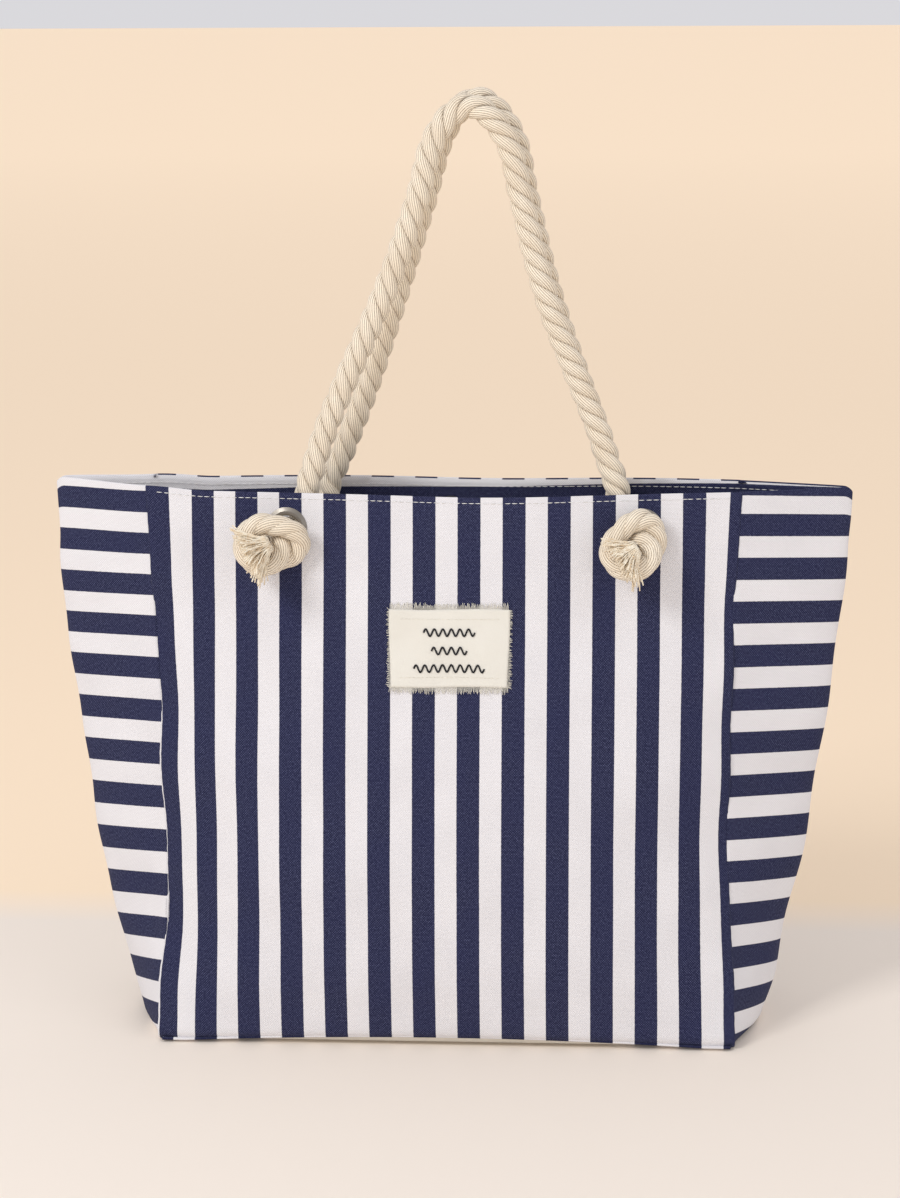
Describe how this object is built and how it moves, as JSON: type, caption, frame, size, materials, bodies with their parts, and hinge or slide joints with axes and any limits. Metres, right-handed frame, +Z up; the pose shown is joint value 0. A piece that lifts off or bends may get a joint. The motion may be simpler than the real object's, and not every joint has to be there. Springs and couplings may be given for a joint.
{
  "type": "beach bag",
  "caption": "Wide striped canvas beach tote with folded side gussets, twisted rope handles knotted through metal eyelets, a frayed label patch and a lined inside.",
  "frame": {"origin": "middle of the base's underside, half way between the side seams and between front and back", "axes": "+Z up, -Y towards the front (the side with the label), +X to the right seen from the front"},
  "size_m": [0.504, 0.1545, 0.5984],
  "materials": {
    "striped_canvas": "woven cotton canvas in even navy and off-white stripes, upright on the front and back, level on the sides",
    "lining_cloth": "thin plain woven cloth, off-white",
    "label_cotton": "unbleached cotton with frayed edges",
    "label_thread": "black embroidery thread",
    "cotton_rope": "natural cotton rope of three twisted strands, slightly fuzzy",
    "nickel": "bright nickel plate",
    "zip_tape": "woven navy tape",
    "zip_coil": "navy nylon coil"
  },
  "bodies": {
    "bag": {"front_panel": "striped_canvas", "back_panel": "striped_canvas", "base_panel": "striped_canvas", "left_gusset": "striped_canvas", "right_gusset": "striped_canvas", "front_facing": "striped_canvas", "back_facing": "striped_canvas", "lining": "lining_cloth", "label_patch": "label_cotton", "label_stitching": "label_thread", "snap_stud": "nickel", "snap_socket": "nickel", "snap_stud_plate": "nickel", "snap_socket_plate": "nickel", "pocket_panel": "lining_cloth", "zip_upper_tape": "zip_tape", "zip_lower_tape": "zip_tape", "zip_upper_coil": "zip_coil", "zip_lower_coil": "zip_coil", "zip_stops": "nickel", "front_left_eyelet": "nickel", "front_left_washer": "nickel", "front_left_rope_end": "cotton_rope", "front_right_eyelet": "nickel", "front_right_washer": "nickel", "front_right_rope_end": "cotton_rope", "back_left_eyelet": "nickel", "back_left_washer": "nickel", "back_left_rope_end": "cotton_rope", "back_right_eyelet": "nickel", "back_right_washer": "nickel", "back_right_rope_end": "cotton_rope"},
    "front_handle": {"front_handle_rope": "cotton_rope"},
    "back_handle": {"back_handle_rope": "cotton_rope"},
    "zip_slider": {"zip_slider": "nickel"},
    "zip_puller": {"zip_puller": "nickel"}
  },
  "joints": [
    {"name": "front_handle_swing", "type": "hinge", "parent": "bag", "child": "front_handle", "pos_m": [0, -0.0305, 0.35], "axis": [1, 0, 0], "range_deg": [0, 105]},
    {"name": "back_handle_swing", "type": "hinge", "parent": "bag", "child": "back_handle", "pos_m": [0, 0.0305, 0.35], "axis": [-1, 0, 0], "range_deg": [0, 105]},
    {"name": "zip_slide", "type": "slide", "parent": "bag", "child": "zip_slider", "axis": [1, 0, 0], "range_m": [0, 0.148]},
    {"name": "puller_flip", "type": "hinge", "parent": "zip_slider", "child": "zip_puller", "pos_m": [-0.074, 0.0348, 0.2542], "axis": [-1, 0, 0], "range_deg": [0, 150]}
  ]
}
